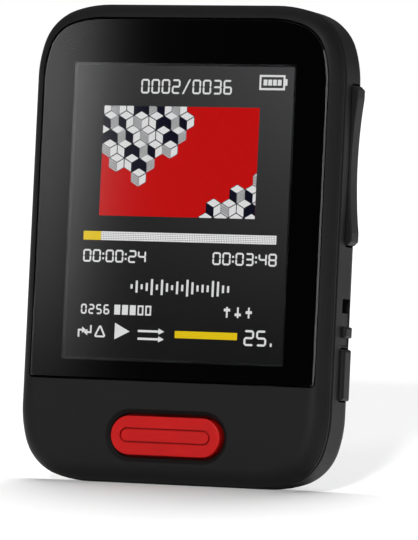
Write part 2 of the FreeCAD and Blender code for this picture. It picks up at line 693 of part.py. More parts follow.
# ---- Main button ------------------------------------------------------------------------------
def main_button():
    """Long front button with a ring groove in its face and a flange behind the front plate."""
    cap = slab(pill(BUTTON_HALF_LENGTH, BUTTON_HALF_HEIGHT, -BUTTON_PROUD), BUTTON_BACK + BUTTON_PROUD)
    cap = cap.makeFillet(BUTTON_ROUND, edges_at(cap, -BUTTON_PROUD))
    half_length = BUTTON_HALF_LENGTH + BUTTON_FLANGE
    half_height = BUTTON_HALF_HEIGHT + BUTTON_FLANGE
    flange = slab(pill(half_length, half_height, BUTTON_FLANGE_DEPTH), BUTTON_FLANGE_THICKNESS)
    start = -BUTTON_PROUD - 1
    outer = slab(pill(GROOVE_HALF_LENGTH, GROOVE_HALF_HEIGHT, start), 1 + GROOVE_DEPTH)
    half_length, half_height = GROOVE_HALF_LENGTH - GROOVE_WIDTH, GROOVE_HALF_HEIGHT - GROOVE_WIDTH
    bar = slab(pill(half_length, half_height, start), 1 + GROOVE_DEPTH)
    return fused(cap, flange).cut(outer.cut(bar))


def button_switch():
    """Dome switch under the main button, open for its plunger."""
    front = BUTTON_BACK + BUTTON_TRAVEL + BUTTON_SWITCH_GAP
    depth = (front, BOARD_FRONT)
    body = centred(BUTTON_X, BUTTON_Z, BUTTON_SWITCH_WIDTH, BUTTON_SWITCH_HEIGHT, depth)
    length = BOARD_FRONT - front + 1 - BUTTON_SWITCH_FLOOR
    well = rod(BUTTON_PLUNGER_R + PLUNGER_FIT, (BUTTON_X, front - 1, BUTTON_Z), length, ALONG_Y)
    return body.cut(well)


def button_plunger():
    """Plunger between the main button and its switch's dome."""
    length = BUTTON_TRAVEL + BUTTON_SWITCH_GAP + BUTTON_TRAVEL
    return rod(BUTTON_PLUNGER_R, (BUTTON_X, BUTTON_BACK, BUTTON_Z), length, ALONG_Y)


# ---- Side controls ----------------------------------------------------------------------------
def track_rocker():
    """Long rocking key with a hollow middle, and a lug inside for its pivot pin."""
    low, high = ROCKER_Z - ROCKER_LENGTH / 2, ROCKER_Z + ROCKER_LENGTH / 2
    tip = HALF_WIDTH + ROCKER_PROUD
    saddle = HALF_WIDTH + ROCKER_SADDLE
    corners = [
        place(ROCKER_INSIDE, KEY_FRONT, low),
        place(tip - ROCKER_BEVEL, KEY_FRONT, low),
        place(tip, KEY_FRONT, low + ROCKER_BEVEL),
        place(tip, KEY_FRONT, low + ROCKER_TIP),
    ]
    mirrored = [place(p.x, KEY_FRONT, 2 * ROCKER_Z - p.z) for p in reversed(corners)]
    edges = [Part.LineSegment(a, b).toShape() for a, b in zip(corners, corners[1:])]
    edges.append(Part.Arc(corners[-1], place(saddle, KEY_FRONT, ROCKER_Z), mirrored[0]).toShape())
    edges += [Part.LineSegment(a, b).toShape() for a, b in zip(mirrored, mirrored[1:])]
    edges.append(Part.LineSegment(mirrored[-1], corners[0]).toShape())
    key = slab(Part.Wire(edges), KEY_WIDTH)
    rims = edges_at(key, KEY_FRONT) + edges_at(key, KEY_BACK)
    rims = [e for e in rims if min(v.X for v in e.Vertexes) > tip - ROCKER_BEVEL - 0.01]
    key = key.makeFillet(ROCKER_ROUND, rims)
    lug_depth = (KEY_DEPTH - ROCKER_LUG_HALF, KEY_DEPTH + ROCKER_LUG_HALF)
    lug_z = (ROCKER_Z - ROCKER_EYE_R, ROCKER_Z + ROCKER_EYE_R)
    lug = block((ROCKER_PIVOT_X, ROCKER_INSIDE + ROOT), lug_depth, lug_z)
    start = (ROCKER_PIVOT_X, lug_depth[0], ROCKER_Z)
    eye = rod(ROCKER_EYE_R, start, 2 * ROCKER_LUG_HALF, ALONG_Y)
    hole = rod(ROCKER_PIN_R + ROCKER_EYE_FIT, start, 2 * ROCKER_LUG_HALF, ALONG_Y)
    return fused(key, lug, eye).cut(hole)


def rocker_bracket():
    """Small bracket on the board with two ears for the rocker's pin."""
    z = (ROCKER_Z - BRACKET_HALF_HEIGHT, ROCKER_Z + BRACKET_HALF_HEIGHT)
    base_x = (ROCKER_PIVOT_X - BRACKET_BACK, ROCKER_PIVOT_X - BRACKET_BACK + BRACKET_BASE)
    pieces = [block(base_x, (BOARD_BACK, bracket_back()), z)]
    ear_x = (ROCKER_PIVOT_X - BRACKET_BACK, ROCKER_PIVOT_X + BRACKET_FRONT)
    gap = ROCKER_LUG_HALF + BRACKET_EAR_GAP
    for depth in ((BOARD_BACK, KEY_DEPTH - gap), (KEY_DEPTH + gap, bracket_back())):
        pieces.append(block(ear_x, depth, z))
    start = (ROCKER_PIVOT_X, BOARD_BACK - 1, ROCKER_Z)
    return fused(*pieces).cut(rod(ROCKER_PIN_R + PIN_FIT, start, BODY_DEPTH, ALONG_Y))


def bracket_back():
    """Depth of the outside of the bracket's farther ear."""
    return KEY_DEPTH + ROCKER_LUG_HALF + BRACKET_EAR_GAP + BRACKET_EAR


def rocker_pin():
    """Steel pin through the bracket's ears and the rocker's lug."""
    start = BOARD_BACK + RUNNING_GAP
    length = bracket_back() - start
    return rod(ROCKER_PIN_R, (ROCKER_PIVOT_X, start, ROCKER_Z), length, ALONG_Y)


def rocker_switches():
    """Two side-acting switches under the rocker's ends."""
    x = (ROCKER_SWITCH_X - ROCKER_SWITCH_WIDTH, ROCKER_SWITCH_X)
    half = SWITCH_HALF_HEIGHT
    bodies = [block(x, (BOARD_BACK, SWITCH_BACK), (z - half, z + half)) for z in rocker_switch_z()]
    return Part.makeCompound(bodies)


def rocker_switch_plungers():
    """The switches' plungers, just short of the rocker at rest."""
    x = (ROCKER_SWITCH_X, ROCKER_INSIDE - ROCKER_SWITCH_STOP)
    depth = (KEY_DEPTH - ROCKER_PLUNGER_HALF[0], KEY_DEPTH + ROCKER_PLUNGER_HALF[0])
    half = ROCKER_PLUNGER_HALF[1]
    return Part.makeCompound([block(x, depth, (z - half, z + half)) for z in rocker_switch_z()])


def rocker_switch_z():
    """Heights of the two switches under the rocker."""
    return (ROCKER_Z - ROCKER_SWITCH_OFFSET, ROCKER_Z + ROCKER_SWITCH_OFFSET)


def power_slider():
    """Sliding power control: a plate in the slot, a ridge to push, and a flange and fork inside."""
    low = SLOT_LOW + SLIDER_START
    high = low + SLIDER_PLATE
    surface = HALF_WIDTH - SLIDER_SUNK
    core = (KEY_FRONT, KEY_BACK)
    plate = block((KEY_FLANGE_X, surface), core, (low, high))
    ridge_low = low + SLIDER_RIDGE_START
    ridge_x = (surface - ROOT, HALF_WIDTH + SLIDER_RIDGE_PROUD)
    ridge_depth = (core[0] + KEY_GAP, core[1] - KEY_GAP)
    ridge = block(ridge_x, ridge_depth, (ridge_low, ridge_low + SLIDER_RIDGE))
    tops = [e for e in ridge.Edges if min(v.X for v in e.Vertexes) > HALF_WIDTH + ROOT]
    ridge = ridge.makeFillet(SLIDER_RIDGE_ROUND, tops)
    flange_x = (KEY_FLANGE_X, KEY_FLANGE_X + KEY_FLANGE_THICKNESS)
    flange_z = (low - SLIDER_FLANGE_LOW, SLOT_LOW + SLOT_LENGTH + SLIDER_FLANGE_HIGH)
    pieces = [block(flange_x, (core[0] - FLANGE_OVER, core[1] + FLANGE_BACK), flange_z), ridge]
    prong_x = (ROCKER_PIVOT_X + FORK_REACH, KEY_FLANGE_X + ROOT / 2)
    prong_depth = (KEY_DEPTH - FORK_HALF_GAP, KEY_DEPTH + FORK_HALF_GAP)
    for prong_low in (-FORK_HALF_GAP - FORK_PRONG, FORK_HALF_GAP):
        z = slider_lever_z() + prong_low
        pieces.append(block(prong_x, prong_depth, (z, z + FORK_PRONG)))
    return fused(plate, *pieces)


def slider_lever_z():
    """Height of the slide switch's lever at rest."""
    return SLOT_LOW + SLIDER_LEVER_RISE


def slide_switch():
    """Slide switch on the board, slotted for its lever."""
    z = slider_lever_z()
    high = ROCKER_PIVOT_X + SLIDE_SWITCH_SHIFT
    body_z = (z - SLIDE_SWITCH_HALF, z + SLIDER_TRAVEL + SLIDE_SWITCH_HALF)
    body = block((high - SLIDE_SWITCH_WIDTH, high), (BOARD_BACK, SWITCH_BACK), body_z)
    half = LEVER_HALF + LEVER_GAP
    slot_z = (z - LEVER_HALF_HEIGHT - LEVER_GAP, z + SLIDER_TRAVEL + LEVER_HALF_HEIGHT + LEVER_GAP)
    slot_x = (high - SWITCH_WELL, high + 1)
    return body.cut(block(slot_x, (KEY_DEPTH - half, KEY_DEPTH + half), slot_z))


def slider_lever():
    """Lever of the slide switch, held in the slider's fork."""
    z = slider_lever_z()
    x = (ROCKER_PIVOT_X - LEVER_X[0], KEY_FLANGE_X - LEVER_X[1])
    depth = (KEY_DEPTH - LEVER_HALF, KEY_DEPTH + LEVER_HALF)
    return block(x, depth, (z - LEVER_HALF_HEIGHT, z + LEVER_HALF_HEIGHT))


def side_key():
    """Short push key with round ends and a flange behind the wall."""
    high = KEY_LOW + KEY_LENGTH
    tip = HALF_WIDTH + KEY_PROUD
    key = block((KEY_FLANGE_X, tip), (KEY_FRONT, KEY_BACK), (KEY_LOW, high))
    key = key.makeFillet(KEY_ROUND, [e for e in key.Edges if min(v.X for v in e.Vertexes) > HALF_WIDTH])
    flange_high = SLOT_LOW - KEY_FLANGE_STOP
    flange_x = (KEY_FLANGE_X, KEY_FLANGE_X + KEY_FLANGE_THICKNESS)
    flange_depth = (KEY_FRONT - FLANGE_OVER, KEY_BACK + FLANGE_BACK)
    flange = block(flange_x, flange_depth, (KEY_LOW - KEY_FLANGE_LOW, flange_high))
    relief_x = (KEY_FLANGE_X - 1, KEY_FLANGE_X + KEY_FLANGE_THICKNESS + KEY_TRAVEL + KEY_GAP)
    relief = block(relief_x, (KEY_FRONT - 1, KEY_BACK + 1), (flange_high, high + 1))
    return fused(key, flange).cut(relief)


def side_key_z():
    """Height of the push key's switch."""
    return KEY_LOW + KEY_SWITCH_RISE


def side_key_switch():
    """Side-acting switch under the push key, open for its plunger."""
    z = side_key_z()
    high = ROCKER_PIVOT_X + KEY_SWITCH_SHIFT
    body_z = (z - SWITCH_HALF_HEIGHT, z + SWITCH_HALF_HEIGHT)
    body = block((high - KEY_SWITCH_WIDTH, high), (BOARD_BACK, SWITCH_BACK), body_z)
    start = (high - SWITCH_WELL, KEY_DEPTH - KEY_PLUNGER_SHIFT, z)
    return body.cut(rod(KEY_PLUNGER_R + PLUNGER_FIT, start, KEY_SWITCH_WIDTH, ALONG_X))


def side_key_plunger():
    """Plunger between the push key and its switch."""
    low = ROCKER_PIVOT_X - KEY_PLUNGER_TAIL
    start = (low, KEY_DEPTH - KEY_PLUNGER_SHIFT, side_key_z())
    return rod(KEY_PLUNGER_R, start, KEY_FLANGE_X - low, ALONG_X)


# ---- Sockets ----------------------------------------------------------------------------------
def headphone_jack():
    """Headphone socket whose collar fills the hole in the case's top."""
    x = (JACK_X - JACK_HALF_WIDTH, JACK_X + JACK_HALF_WIDTH)
    depth = (JACK_DEPTH - JACK_HALF_DEPTH, JACK_DEPTH + JACK_HALF_DEPTH)
    body_top = BODY_HEIGHT - WALL - JACK_BODY_DROP
    body = block(x, depth, (JACK_LOW, body_top))
    root = body_top - JACK_COLLAR_ROOT
    collar = rod(JACK_COLLAR_R, (JACK_X, JACK_DEPTH, root), JACK_TOP - root, ALONG_Z)
    bore = rod(JACK_BORE_R, (JACK_X, JACK_DEPTH, JACK_TOP - JACK_BORE_LENGTH), BODY_HEIGHT, ALONG_Z)
    return fused(body, collar).cut(bore)


def usb_bar(grow, start_x, length):
    """A bar with a rounded section about the charging socket's axis."""
    half_depth, half_height = USB_HALF_DEPTH + grow, USB_HALF_HEIGHT + grow
    depth = (USB_DEPTH - half_depth, USB_DEPTH + half_depth)
    bar = block((start_x, start_x + length), depth, (USB_Z - half_height, USB_Z + half_height))
    along = [e for e in bar.Edges if abs(e.Vertexes[0].X - e.Vertexes[1].X) > length / 2]
    return bar.makeFillet(half_depth * USB_ROUND_SHARE, along)


def usb_socket():
    """Steel shell of the charging socket, closed at its inner end."""
    start = -HALF_WIDTH + USB_SUNK
    shell = usb_bar(0, start, USB_LENGTH)
    return shell.cut(usb_bar(-USB_WALL, start - 1, USB_LENGTH + 1 - USB_WALL))


def usb_tongue():
    """Contact tongue inside the charging socket."""
    start = -HALF_WIDTH + USB_SUNK
    x = (start + USB_TONGUE_SUNK, start + USB_LENGTH - USB_WALL)
    depth = (USB_DEPTH - USB_TONGUE_HALF_DEPTH, USB_DEPTH + USB_TONGUE_HALF_DEPTH)
    return block(x, depth, (USB_Z - USB_TONGUE_HALF_HEIGHT, USB_Z + USB_TONGUE_HALF_HEIGHT))


# ---- Battery ----------------------------------------------------------------------------------
def battery():
    """Lithium pouch cell behind the board."""
    x = (BATTERY_LOW_X, BATTERY_LOW_X + BATTERY_WIDTH)
    depth = (BATTERY_DEPTH, BATTERY_DEPTH + BATTERY_THICKNESS)
    cell = block(x, depth, (BATTERY_LOW, BATTERY_HIGH))
    upright = [e for e in cell.Edges if abs(e.Vertexes[0].Z - e.Vertexes[1].Z) > 1]
    return cell.makeFillet(BATTERY_ROUND, upright)


def battery_tape():
    """Tape between the cell and the back."""
    x = BATTERY_LOW_X + BATTERY_WIDTH / 2
    z = BATTERY_LOW + BATTERY_HEIGHT / 2
    depth = (BACK_INSIDE - BATTERY_TAPE, BACK_INSIDE)
    return centred(x, z, BATTERY_TAPE_WIDTH, BATTERY_TAPE_HEIGHT, depth)


def battery_board():
    """The cell's protection board, on its top edge."""
    middle = BATTERY_DEPTH + BATTERY_THICKNESS / 2
    depth = (middle - BATTERY_BOARD_HALF, middle + BATTERY_BOARD_HALF)
    return block(BATTERY_BOARD_X, depth, (BATTERY_HIGH, BATTERY_HIGH + BATTERY_BOARD_HEIGHT))


def battery_leads():
    """Two short leads from the protection board to the main board."""
    middle = BATTERY_DEPTH + BATTERY_THICKNESS / 2
    foot = BATTERY_HIGH + BATTERY_BOARD_HEIGHT
    high = foot + LEAD_RISE
    halfway = math.sqrt(0.5)
    leads = []
    for x in LEAD_X:
        start = place(x, middle, foot)
        rise = place(x, middle, high)
        knee = place(x, middle - LEAD_BEND * (1 - halfway), high + LEAD_BEND * halfway)
        turned = place(x, middle - LEAD_BEND, high + LEAD_BEND)
        end = place(x, BOARD_BACK, high + LEAD_BEND)
        path = Part.Wire([
            Part.LineSegment(start, rise).toShape(),
            Part.Arc(rise, knee, turned).toShape(),
            Part.LineSegment(turned, end).toShape(),
        ])
        section = Part.Wire([Part.Circle(start, ALONG_Z, LEAD_R).toShape()])
        leads.append(path.makePipeShell([section], True, False))
    return Part.makeCompound(leads)


# ---- Back clip --------------------------------------------------------------------------------
def belt_clip():
    """Clip plate with a thumb lever above its hollow hinge knuckle and a hooked jaw at the bottom."""
    x = (-CLIP_HALF_WIDTH, CLIP_HALF_WIDTH)
    high = CLIP_PIVOT_Z + CLIP_LEVER
    plate = block(x, (CLIP_PLATE_DEPTH, CLIP_PLATE_BACK), (CLIP_LOW, high))
    upright = [e for e in plate.Edges if abs(e.Vertexes[0].Y - e.Vertexes[1].Y) > 1]
    plate = plate.makeFillet(CLIP_ROUND, upright)
    plate = plate.makeFillet(CLIP_EDGE_ROUND, edges_at(plate, CLIP_PLATE_BACK))
    jaw_depth = (BODY_DEPTH + CLIP_PAD_GAP + CLIP_PAD_THICKNESS, CLIP_PLATE_DEPTH + ROOT)
    jaw_x = (-CLIP_HALF_WIDTH + JAW_INSET, CLIP_HALF_WIDTH - JAW_INSET)
    jaw = block(jaw_x, jaw_depth, (CLIP_LOW + JAW_Z[0], CLIP_LOW + JAW_Z[1]))
    start = (-CLIP_HALF_WIDTH, CLIP_PIVOT_DEPTH, CLIP_PIVOT_Z)
    knuckle = rod(CLIP_KNUCKLE_R, start, 2 * CLIP_HALF_WIDTH, ALONG_X)
    bay_z = (CLIP_PIVOT_Z - CLIP_KNUCKLE_R - ROOT, CLIP_PIVOT_Z + CLIP_KNUCKLE_R + ROOT)
    bay = block((-CLIP_SPRING_BAY, CLIP_SPRING_BAY), (BODY_DEPTH - 1, CLIP_BAY_DEPTH), bay_z)
    hole = rod(CLIP_PIN_R + RUNNING_GAP, start, 2 * CLIP_HALF_WIDTH, ALONG_X)
    clip = fused(plate, jaw, knuckle).cut([bay, hole])
    grooves = []
    half_length, half_height = CLIP_GROOVE_HALF
    depth = (CLIP_PLATE_BACK - CLIP_GROOVE_DEPTH, CLIP_PLATE_BACK + 1)
    for step in range(CLIP_GROOVES):
        z = high - CLIP_GROOVE_START - CLIP_GROOVE_PITCH * step
        grooves.append(block((-half_length, half_length), depth, (z - half_height, z + half_height)))
    return clip.cut(grooves)


def clip_pad():
    """Rubber pad on the jaw, just clear of the case's back."""
    front = BODY_DEPTH + CLIP_PAD_GAP
    x = (-CLIP_HALF_WIDTH + PAD_INSET, CLIP_HALF_WIDTH - PAD_INSET)
    z = (CLIP_LOW + PAD_Z[0], CLIP_LOW + PAD_Z[1])
    return block(x, (front, front + CLIP_PAD_THICKNESS), z)


def clip_pin():
    """Steel hinge pin through the ears and the knuckle."""
    start = (-CLIP_EAR_X - CLIP_EAR_THICKNESS, CLIP_PIVOT_DEPTH, CLIP_PIVOT_Z)
    return rod(CLIP_PIN_R, start, 2 * (CLIP_EAR_X + CLIP_EAR_THICKNESS), ALONG_X)


def clip_spring():
    """Torsion spring on the pin: one leg lies along the back, the other under the thumb lever."""
    pitch = 2 * SPRING_WIRE_R + SPRING_COIL_GAP
    width = pitch * SPRING_TURNS
    helix = Part.makeHelix(pitch, width, SPRING_MEAN_R)
    helix.Placement = FreeCAD.Placement(
        place(-width / 2, CLIP_PIVOT_DEPTH, CLIP_PIVOT_Z), FreeCAD.Rotation(0, 90, 0)
    )
    helix.rotate(place(0, CLIP_PIVOT_DEPTH, CLIP_PIVOT_Z), ALONG_X, -90)
    start_edge = helix.Edges[0]
    tangent = start_edge.tangentAt(start_edge.FirstParameter)
    section = Part.Wire([Part.Circle(helix.Vertexes[0].Point, tangent, SPRING_WIRE_R).toShape()])
    coil = Part.Wire(helix.Edges).makePipeShell([section], True, True)
    ends = sorted((v.Point for v in helix.Vertexes), key=lambda p: p.x)
    lever_side = CLIP_PLATE_DEPTH - SPRING_WIRE_R - (CLIP_PIVOT_DEPTH - SPRING_MEAN_R)
    back_side = CLIP_STANDOFF - SPRING_MEAN_R - SPRING_WIRE_R
    lean = (lever_side - SPRING_CLEARANCE, SPRING_CLEARANCE - back_side)
    legs = []
    for end, sideways, rise in zip(ends, lean, (SPRING_LEG, -SPRING_LEG)):
        direction = FreeCAD.Vector(0, sideways, rise)
        legs.append(Part.makeCylinder(SPRING_WIRE_R, direction.Length, end, direction))
    return Part.makeCompound([coil] + legs)


# ---- Every piece ------------------------------------------------------------------------------
SHELL = case_shell()
PIECES = {
    "front_cover": front_cover(SHELL),
    "rear_cover": rear_cover(SHELL),
    "case_screws": case_screws(),
    "display_window": display_window(),
    "window_ink": window_ink(),
    "window_tape": window_tape(),
    "lcd_panel": lcd_panel(),
    "lcd_backlight": lcd_backlight(),
    "lcd_foam": lcd_foam(),
    "lcd_flex": lcd_flex(),
    "flex_connector": flex_connector(),
    "main_board": main_board(),
    "system_chip": chip(-6.5, 13.2, 8.0, 8.0, 1.0),
    "memory_chip": chip(5.6, 13.4, 12.0, 8.5, 0.9),
    "tuner_chip": chip(9.6, 5.6, 4.0, 4.0, 0.8),
    "clock_crystal": chip(4.0, 5.9, 3.2, 1.6, 0.7),
    "small_components": small_components(),
    "battery": battery(),
    "battery_tape": battery_tape(),
    "battery_board": battery_board(),
    "battery_leads": battery_leads(),
    "main_button": main_button(),
    "button_plunger": button_plunger(),
    "button_switch": button_switch(),
    "track_rocker": track_rocker(),
    "rocker_pin": rocker_pin(),
    "rocker_bracket": rocker_bracket(),
    "rocker_switches": rocker_switches(),
    "rocker_switch_plungers": rocker_switch_plungers(),
    "power_slider": power_slider(),
    "slider_lever": slider_lever(),
    "slide_switch": slide_switch(),
    "side_key": side_key(),
    "side_key_plunger": side_key_plunger(),
    "side_key_switch": side_key_switch(),
    "headphone_jack": headphone_jack(),
    "usb_socket": usb_socket(),
    "usb_tongue": usb_tongue(),
    "belt_clip": belt_clip(),
    "clip_pad": clip_pad(),
    "clip_pin": clip_pin(),
    "clip_spring": clip_spring(),
}

for name, shape in PIECES.items():
    shape.exportStep("parts/" + name + ".step")
    box = shape.BoundBox
    print(f"{name:24s} solids {len(shape.Solids)}  volume {shape.Volume:9.3f}  valid {shape.isValid()}"
          f"  x {box.XMin:7.2f}..{box.XMax:6.2f}  y {box.YMin:6.2f}..{box.YMax:5.2f}"
          f"  z {box.ZMin:6.2f}..{box.ZMax:5.2f}")
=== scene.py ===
# %% [markdown]
# # A clip-on music player, dressed and lit
# The working parts of this small player come ready made from its construction model: a two-piece case,
# a window, a colour screen, a big front button, three side controls and a belt clip. They are loaded as
# a fixed frame. This lesson gives each of them its finish, draws the picture on the screen, and sets up
# a plain studio round it. Every length below is in metres, as in the frame.

# %% Load the frame
import math

import bmesh
import bpy
from mathutils import Matrix, Vector


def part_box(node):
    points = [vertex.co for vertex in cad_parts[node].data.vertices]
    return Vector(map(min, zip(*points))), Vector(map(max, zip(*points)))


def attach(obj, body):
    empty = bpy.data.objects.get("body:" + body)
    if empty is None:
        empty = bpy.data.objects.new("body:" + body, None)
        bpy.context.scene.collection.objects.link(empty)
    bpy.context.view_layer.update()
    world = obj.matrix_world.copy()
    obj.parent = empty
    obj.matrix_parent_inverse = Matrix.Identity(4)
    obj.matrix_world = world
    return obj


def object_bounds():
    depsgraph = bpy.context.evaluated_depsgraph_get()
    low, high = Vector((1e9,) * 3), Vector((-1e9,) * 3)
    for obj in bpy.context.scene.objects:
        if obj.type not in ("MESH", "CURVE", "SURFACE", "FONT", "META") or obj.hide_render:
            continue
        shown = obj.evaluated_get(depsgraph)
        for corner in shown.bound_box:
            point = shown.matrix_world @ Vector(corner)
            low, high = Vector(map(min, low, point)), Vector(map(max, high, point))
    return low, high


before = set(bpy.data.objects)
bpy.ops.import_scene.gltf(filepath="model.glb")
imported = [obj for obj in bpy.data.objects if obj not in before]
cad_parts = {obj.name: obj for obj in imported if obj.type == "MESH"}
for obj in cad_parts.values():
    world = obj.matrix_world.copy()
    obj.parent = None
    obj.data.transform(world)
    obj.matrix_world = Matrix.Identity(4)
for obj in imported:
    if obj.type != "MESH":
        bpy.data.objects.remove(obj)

cad_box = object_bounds()
MM = 0.001
scene = bpy.context.scene
slot_of = {name: node.material_slots[0].material.name for name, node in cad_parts.items()}
for plain_material in list(bpy.data.materials):
    bpy.data.materials.remove(plain_material)
lowest, highest = ([round(v / MM, 2) for v in point] for point in cad_box)
print("player from", lowest, "to", highest, "mm")

# %% [markdown]
# ## Shader arithmetic
# A finish is a small sum over the surface: a noise, plus an edge, times a strength. Node trees hide that
# sum in boxes and wires. Wrapping a socket in a class that understands + - * / lets the sum be written as
# one line of Python, and each sign adds the Math node that an artist would have placed by hand.

# %% A socket that does arithmetic
class Wire:
    """One output socket, with the signs of arithmetic."""

    def __init__(self, tree, socket):
        self.tree = tree
        self.socket = socket

    def maths(self, operation, first, second=None, clamp=False):
        step = self.tree.nodes.new("ShaderNodeMath")
        step.operation = operation
        step.use_clamp = clamp
        for slot, value in zip(step.inputs, (first, second)):
            if isinstance(value, Wire):
                self.tree.links.new(value.socket, slot)
            elif value is not None:
                slot.default_value = value
        return Wire(self.tree, step.outputs[0])

    def __add__(self, other):
        return self.maths("ADD", self, other)

    def __radd__(self, other):
        return self.maths("ADD", other, self)

    def __sub__(self, other):
        return self.maths("SUBTRACT", self, other)

    def __rsub__(self, other):
        return self.maths("SUBTRACT", other, self)

    def __mul__(self, other):
        return self.maths("MULTIPLY", self, other)

    def __truediv__(self, other):
        return self.maths("DIVIDE", self, other)

    def __pow__(self, other):
        return self.maths("POWER", self, other)

    def at_least(self, other):
        return self.maths("MAXIMUM", self, other)

    def clamped(self):
        return self.maths("ADD", self, 0.0, clamp=True)

    def exponential(self):
        return self.maths("EXPONENT", self)

    def off_centre(self, pitch):
        """Distance from the middle of a repeated cell: 0 in its middle, 0.5 at its edges."""
        share = self.maths("FRACT", self / pitch)
        return self.maths("ABSOLUTE", share - 0.5)

    def rise(self, start, end):
        """0 up to start, 1 from end on, straight between; end may be the lower one."""
        return ((self - start) / (end - start)).clamped()

    def between(self, out_low, in_low, in_high, out_high):
        """1 between the two middle values and 0 beyond the outer two, with straight slopes."""
        return self.rise(out_low, in_low) * self.rise(out_high, in_high)


# %% A node tree that is filled by one method
class Graph:
    """The node tree of a material or of the world."""

    def __init__(self, owner):
        owner.use_nodes = True
        self.tree = owner.node_tree
        self.tree.nodes.clear()

    def node(self, kind, settings=None, values=None, out=0):
        step = self.tree.nodes.new(kind)
        for name, value in (settings or {}).items():
            setattr(step, name, value)
        for name, value in (values or {}).items():
            if isinstance(value, Wire):
                self.tree.links.new(value.socket, step.inputs[name])
            else:
                step.inputs[name].default_value = value
        return Wire(self.tree, step.outputs[out]) if len(step.outputs) else step

    def place(self):
        return self.node("ShaderNodeTexCoord", out="Object")

    def noise(self, place, size, detail=2.0, roughness=0.5):
        """A cloudy value round 0.5 whose blotches are about that size."""
        values = {"Vector": place, "Scale": 1 / size, "Detail": detail, "Roughness": roughness}
        return self.node("ShaderNodeTexNoise", {"noise_dimensions": "3D"}, values)

    def axis(self, place, name):
        """The X, Y or Z of a place or a direction."""
        return self.node("ShaderNodeSeparateXYZ", None, {"Vector": place}, out=name)

    def likeness(self, heading, direction):
        """1 where the heading is that direction, 0 square to it."""
        values = {0: heading, 1: direction}
        return self.node("ShaderNodeVectorMath", {"operation": "DOT_PRODUCT"}, values, out="Value")

    def mix(self, factor, first, second):
        """A colour between two: the colour sockets of the Mix node are 0, 6 and 7."""
        return self.node("ShaderNodeMix", {"data_type": "RGBA"}, {0: factor, 6: first, 7: second}, out=2)

    def bump(self, height, distance):
        return self.node("ShaderNodeBump", None, {"Height": height, "Distance": distance, "Strength": 1.0})


def grey(level):
    return (level, level, level, 1.0)


def shade(colour, share):
    """That share of a colour, with the fourth value that a colour socket wants."""
    return tuple(min(1.0, share * level) for level in colour) + (1.0,)


def finish(name, build):
    """A material whose surface is the Principled values that build() returns."""
    material = bpy.data.materials.new(name)
    graph = Graph(material)
    surface = graph.node("ShaderNodeBsdfPrincipled", None, build(graph))
    graph.node("ShaderNodeOutputMaterial", None, {"Surface": surface})
    return material


# %% [markdown]
# ## Moulded black plastic
# The case is injection-moulded ABS. The steel mould was spark-eroded, which leaves the plastic a very
# fine even grain and a soft sheen. It could be a plain dark colour with a high roughness, but then every
# face looks like paint. Three noises do the work: one for the grain in the bump, one that makes the
# sheen patchy where hands have polished it, and one that shifts the black a little.

# %% Case and key plastic
def moulded(colour, grain, grain_depth, roughness, specular):
    """Builds a spark-eroded plastic: colour, grain size and depth in metres, roughness and gloss level."""

    def build(g):
        place = g.place()
        erosion = g.noise(place, grain, detail=3.0, roughness=0.6)
        handled = g.noise(place, 9 * MM, detail=2.0)
        tint = g.noise(place, 4 * MM, detail=3.0)
        return {
            "Base Color": g.mix(tint, shade(colour, 0.86), shade(colour, 1.14)),
            "Roughness": roughness + (handled - 0.5) * 0.12 + (erosion - 0.5) * 0.08,
            "Specular IOR Level": specular,
            "Normal": g.bump(erosion, grain_depth),
        }

    return build


case_black = finish("case_black", moulded((0.0068, 0.0067, 0.0067), 0.09 * MM, 0.012 * MM, 0.50, 0.13))
key_black = finish("key_black", moulded((0.0065, 0.0063, 0.0063), 0.06 * MM, 0.006 * MM, 0.46, 0.12))

# %% [markdown]
# ## The red button
# The button is a separate moulding in a warm signal red with the same fine grain, a little glossier
# because it is the part that fingers polish. The groove in its face is real geometry, so the finish
# stays simple.

# %% Button plastic
button_red = finish("button_red", moulded((0.42, 0.0040, 0.0036), 0.08 * MM, 0.006 * MM, 0.40, 0.18))

# %% [markdown]
# ## Window, ink and tape
# The window is a clear acrylic slab with a polished edge, printed black on its back except over the
# screen. Acrylic is made with the Principled shader's own transmission, so the print really lies behind
# it and the light passes through. The print is dead matt black; the tape behind it is a fibrous black.

# %% Clear acrylic and what lies behind it
def acrylic(g):
    place = g.place()
    wear = g.noise(place, 6 * MM, detail=3.0)
    return {
        "Base Color": g.mix(wear, (0.975, 0.98, 0.985, 1), (0.99, 0.992, 0.995, 1)),
        "Roughness": 0.012 + wear * 0.012,
        "IOR": 1.49,
        "Transmission Weight": 1.0,
    }


def matt(colour, blotch, roughness=0.8, specular=0.2):
    """Builds a plain matt finish with a slight blotch of that size."""

    def build(g):
        cloud = g.noise(g.place(), blotch, detail=3.0)
        return {
            "Base Color": g.mix(cloud, shade(colour, 0.85), shade(colour, 1.15)),
            "Roughness": roughness + (cloud - 0.5) * 0.1,
            "Specular IOR Level": specular,
            "Normal": g.bump(cloud, 0.01 * MM),
        }

    return build


window_clear = finish("window_clear", acrylic)
ink_black = finish("ink_black", matt((0.0008, 0.0008, 0.0009), 0.2 * MM, 0.9, 0.05))
tape_black = finish("tape_black", matt((0.01, 0.01, 0.01), 0.3 * MM))

# %% [markdown]
# ## Metal, board and the other inner parts
# Little of the inside shows, but the part may be opened, so each piece gets what it is made of: drawn
# stainless steel with fine lines along its length, tinned plate, a green board with its copper pattern
# under the lacquer, black epoxy chips, a crinkled battery pouch, amber film and moulded nylon.

